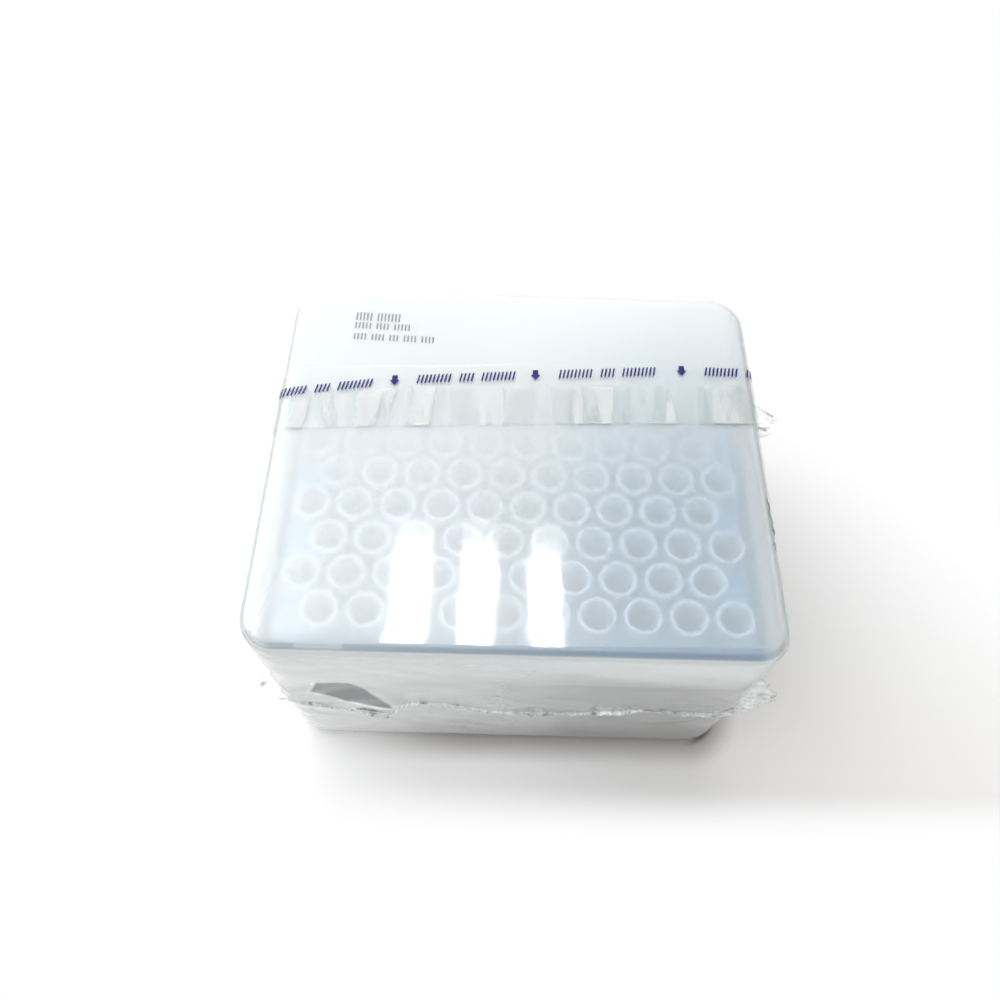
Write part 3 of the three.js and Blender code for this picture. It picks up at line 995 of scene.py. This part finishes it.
def makeBand():
    reach = bandHalf - film["edge"] * (1 - pi / 2) + band["top"] - film["edge"] - band["end"]
    count = int(2 * reach / band["step"])
    along = np.linspace(-reach, reach, count)[None, :]
    ragged = 1 + 0.012 * wander(along, 0.011)
    across = np.linspace(-0.5, 0.5, band["across"] + 1)[:, None] * band["width"] * ragged
    grid = bandPoint(np.broadcast_to(along, across.shape), across, 0.0)
    quads = gridQuads(*grid.shape[:2])
    piece = makePiece("tear_band", grid.reshape(-1, 3), [quads], bandFilm, ["tear_strip"], 180)
    thicken(piece, band["thickness"], 1)


# Leaves at the lid's right edge, the pull tab and a dark fold whose darkness is painted shade: start and reach
# in x, middle and length in y, height, rise, thickness, in mm
leaves = (("pull_tab", -1.2, 6.0, 13.5, 11, 75.6, 0.3, 0.1), ("edge_fold", -1.4, 0.3, -19, 15, 77.3, 0.3, 0.1))


# A small crumpled leaf, out from the side wall by u and along it by v.
def makeLeaf(name, start, reach, middle, length, level, rise, thickness, finish, slotName):
    u = np.linspace(0, 1, 14)[:, None]
    v = np.linspace(-1, 1, 36)[None, :]
    narrow = 1 - 0.25 * u ** 2
    x = start + reach * u * (0.8 + 0.2 * np.sin(3.1 * v + 1) + 0.1 * np.sin(17 * v)) + 0.15 * np.sin(11 * v)
    y = middle + length / 2 * v * narrow
    z = level + 2.2 * np.sin(2.4 * v + 2.5 * u) * u * rise - 0.6 * u ** 2
    z = z + (0.25 * np.sin(9 * v + 5 * u) + rise) * u
    grid = np.stack([bandHalf + x * mm, y * mm, z * mm], axis=2)
    quads = gridQuads(*grid.shape[:2])
    piece = makePiece(name, grid.reshape(-1, 3), [quads], finish, sharpAngle=180)
    thicken(piece, thickness * mm, 0)


marks = {
    "x": np.array([-64, -33, 4.6, 44.5, 64]) * mm,
    "y": np.array([16.1, 21.6, 24.7, 27.6, 27.4]) * mm,
    "groups": (-53.0, -14.5, 24.0, 64.1),  # middle of each group of strokes
    "blocks": ((-8.6, 9), (0.2, 4), (8.8, 9)),  # middle and number of strokes within a group
    "pitch": 1.05,
    "strokeWidth": 0.48 * mm,
    "height": 2.8 * mm,
    "slant": 0.2,
    "arrows": (-33.7, 4.4, 44.6),
    "arrowLength": 3.2 * mm,
    "arrowWidth": 2.8 * mm,
    "lift": 0.12 * mm,
}


# Short slanted strokes: parallelograms of 2 columns by 3 rows round each middle.
def strokeGrid(middles, width, height, slant):
    row = np.array([-0.5, 0, 0.5])[None, :, None] * height
    along = middles[:, None, None] + slant * row + np.array([-0.5, 0.5]) * width
    return along, row + 0 * along


# Marks that follow the band: blocks of strokes, and arrows that point to the front.
def makeMarks():
    m = marks
    middles = np.array([group + middle + (k - (count - 1) / 2) * m["pitch"]
                        for group in m["groups"] for middle, count in m["blocks"] for k in range(count)]) * mm
    middles = middles[middles < bandHalf + 2 * mm]
    along, row = strokeGrid(middles, m["strokeWidth"], m["height"], m["slant"])
    line = np.interp(along, m["x"], m["y"]) - bandMiddle(along)
    points = bandPoint(along, line + row, m["lift"]).reshape(-1, 3)
    quads = copiedQuads(gridQuads(3, 2)[:, ::-1], len(middles), 6)
    # half width of an arrow at each share of its length, for shaft and head
    share = np.array([0, 0.5, 0.5, 1.0])
    half = np.array([0.27, 0.27, 0.5, 0.02]) * m["arrowWidth"]
    for middle in m["arrows"]:
        line = np.interp(middle * mm, m["x"], m["y"]) - bandMiddle(middle * mm)
        along = middle * mm + np.array([[-1], [1]]) * half
        across = line + m["arrowLength"] * (0.5 - share) + 0 * along
        quads = np.concatenate([quads, gridQuads(2, 4)[:, ::-1] + len(points)])
        points = np.concatenate([points, bandPoint(along, across, m["lift"]).reshape(-1, 3)])
    makePiece("band_marks", points, [quads], blueInk)


label = {
    "left": -46.3 * mm,
    # middle and height in mm, number of strokes, and which are left out
    "rows": ((44.3, 3.0, 13, (5,)), (41.0, 2.3, 16, (5, 10)), (37.0, 2.3, 23, (4, 9, 13, 18))),
    "slant": -0.03,
    "pitch": 1.0 * mm,
    "strokeWidth": 0.46 * mm,
}


# Three rows of upright strokes where the lid carries its label, just above the lid's top.
def makeLabel():
    grids = []
    for middle, height, count, gaps in label["rows"]:
        middles = label["left"] + np.delete(np.arange(count), gaps) * label["pitch"]
        x, y = strokeGrid(middles, label["strokeWidth"], height * mm, 0.0)
        y = y + middle * mm + label["slant"] * (x - label["left"])
        grids.append(np.stack([x, y, np.full(x.shape, lidHigh.z + 0.06 * mm)], axis=3).reshape(-1, 3))
    points = np.concatenate(grids)
    quads = copiedQuads(gridQuads(3, 2)[:, ::-1], len(points) // 6, 6)
    makePiece("lid_label", points, [quads], greyInk)


makeFilm()
makeSeam()
makeBand()
makeLeaf(*leaves[0], seamFilm, "strip_film")
makeLeaf(*leaves[1], paintedShadeFilm, "clear_film")
makeMarks()
makeLabel()


stage = {
    "half": 4.0,
    "white": (0.97, 0.97, 0.97, 1),
    # the floor's painted shade in front of the box and to its right
    "grey": (0.84, 0.83, 0.82, 1),
    # a painted shadow at the foot: how far out it reaches and its tone
    "paintedFootShadow": 10 * mm,  # how far out the floor is darker round the box
    "paintedShadowTone": (0.42, 0.40, 0.39, 1),
    # the colour of a painted shadow line
    "paintedCornerShadowColour": (0.14, 0.135, 0.135, 1),  # beside the foot's front corner on the right
}


def makeFloor():
    mesh = bpy.data.meshes.new("floor")
    h = stage["half"]
    mesh.from_pydata([(-h, -h, 0), (h, -h, 0), (h, h, 0), (-h, h, 0)], [], [(0, 1, 2, 3)])
    floor = addObject("floor", mesh)
    floor.location.z = -0.2 * mm
    material, g = newFinish("floor_paper")
    x, y, _ = g.axes()
    # greyer in front and to the right, white far away and at the back: painted shade where the box's shadow
    # falls, on top of the rendered shadows
    towardsBack = y + x * 0.5
    grey = g.span(x, -10 * mm, 70 * mm) * (1 - g.span(towardsBack, -20 * mm, 110 * mm))
    grey = grey * (1 - g.span(-1 * y, 68 * mm, 82 * mm))
    # painted shadow: the floor darker close round the box's foot, fading out towards the left
    paintedFootShadow = (1 - g.span(-1 * insideEdge(x, y), 0, stage["paintedFootShadow"])) * g.span(x, -62 * mm, -10 * mm)
    colour = g.blendColour(paintedFootShadow, g.blendColour(grey, stage["white"], stage["grey"]), stage["paintedShadowTone"])
    # painted shadow: a thin dark line beside the foot's front corner on the right
    corner = (1 - g.span(-1 * insideEdge(x, y), 0.3 * mm, 2.2 * mm)) * g.span(x - y, 110.5 * mm, 114 * mm)
    colour = g.blendColour(corner, colour, stage["paintedCornerShadowColour"])
    paper = g.principled(Base_Color=colour, Roughness=0.35, Specular_IOR_Level=0.3)
    light = g.node("ShaderNodeLightPath")
    seen = Wire(g, light.outputs["Is Camera Ray"]) + Wire(g, light.outputs["Is Glossy Ray"])
    seen = (seen + Wire(g, light.outputs["Is Transmission Ray"])).atMost(1.0)
    away = g.span((x * x + y * y) ** 0.5, 0.2, 0.36).atLeast(g.span(-1 * x, 70 * mm, 110 * mm))
    away = away.atLeast(g.span(-1 * y, 68 * mm, 84 * mm)).atLeast(g.span(towardsBack, 90 * mm, 130 * mm))
    white = g.shader("ShaderNodeEmission", {0: (1, 1, 1, 1), 1: 1.0})
    g.finish(g.mixShader(seen * away, paper, white))
    mesh.materials.append(material)


sky = {
    "fill": 0.62,
    # soft light from behind on the left, from the left, and overhead in gloss alone:
    # direction, rim, strength as light and in gloss
    "lobes": (((-0.42, 0.78, 0.46), (0.65, 0.85), 1.5, 1.5),
              ((-0.86, -0.24, 0.45), (0.6, 0.85), 0.8, 0.8),
              ((-0.1, 0.45, 0.89), (0.80, 0.90), 0.0, 1.0),
              ((-0.45, 0.35, 0.82), (0.87, 0.96), 0.0, 0.7),
              ((-0.5, 0.3, 0.81), (0.93, 0.97), 0.0, 1.6)),
}


def makeSky():
    world = bpy.data.worlds.new("studio")
    bpy.context.scene.world = world
    world.use_nodes = True
    g = Graph(world.node_tree)
    way = g.wire("ShaderNodeTexCoord", output="Generated")
    light = g.node("ShaderNodeLightPath")
    camera, glossy, through = (Wire(g, light.outputs[f"Is {kind} Ray"])
                               for kind in ("Camera", "Glossy", "Transmission"))
    strength = sky["fill"] + (camera + glossy + through).atMost(1.0) * (1.0 - sky["fill"])
    for direction, rim, power, gloss in sky["lobes"]:
        facing = g.wire("ShaderNodeVectorMath", {0: way, 1: direction}, "Value", operation="DOT_PRODUCT")
        strength = strength + g.span(facing, *rim) * ((1.0 - camera) * power + glossy * (gloss - power))
    g.finish(g.shader("ShaderNodeBackground", {0: (1, 1, 1, 1), 1: strength}), "ShaderNodeOutputWorld")


windows = {
    "height": 1.08,
    "across": ((-0.163, -0.101), (-0.055, 0.001), (0.055, 0.105)),
    # from, to, radiance, share of the width
    "along": ((0.12, 0.24, 15, 0.82), (0.24, 0.31, 15, 0.88), (0.31, 0.37, 15, 0.94), (0.37, 0.42, 15, 1),
              (0.42, 0.445, 8, 1), (0.445, 0.47, 3.5, 1), (0.47, 0.50, 1.4, 1)),
}


# Three narrow windows overhead that fade out at the back, seen only in the film's gloss.
def makeWindows():
    for k, (left, right) in enumerate(windows["across"]):
        for start, end, radiance, share in windows["along"]:
            lamp = bpy.data.lights.new(f"window_{k}", "AREA")
            lamp.shape = "RECTANGLE"
            lamp.size, lamp.size_y = (right - left) * share, end - start
            lamp.energy = radiance * 4 * lamp.size * lamp.size_y
            pane = addObject(f"window_{k}", lamp)
            pane.location = ((left + right) / 2, (start + end) / 2, windows["height"])
            pane.visible_diffuse = pane.visible_transmission = False


view = {
    "azimuth": -1.02,
    "elevation": 60.89,
    "roll": 2.52,
    "distance": 0.2912,
    "target": (-0.0037, 0.0288, 0.0),
    "lens": 29.16,
    "sensor": 36.0,
    "near": 0.01,
}


def makeCamera():
    azimuth, elevation, roll = (radians(view[key]) for key in ("azimuth", "elevation", "roll"))
    lens = bpy.data.cameras.new("camera")
    lens.lens, lens.sensor_width, lens.clip_start = view["lens"], view["sensor"], view["near"]
    camera = addObject("camera", lens)
    bpy.context.view_layer.update()
    turn = Matrix.Rotation(azimuth, 4, "Z") @ Matrix.Rotation(pi / 2 - elevation, 4, "X")
    back = Matrix.Translation((0, 0, view["distance"]))
    camera.matrix_world = Matrix.Translation(view["target"]) @ turn @ Matrix.Rotation(roll, 4, "Z") @ back
    bpy.context.scene.camera = camera


makeFloor()
makeSky()
makeWindows()
makeCamera()
bpy.context.scene.view_settings.view_transform = "Standard"
print("stage, light and camera made")
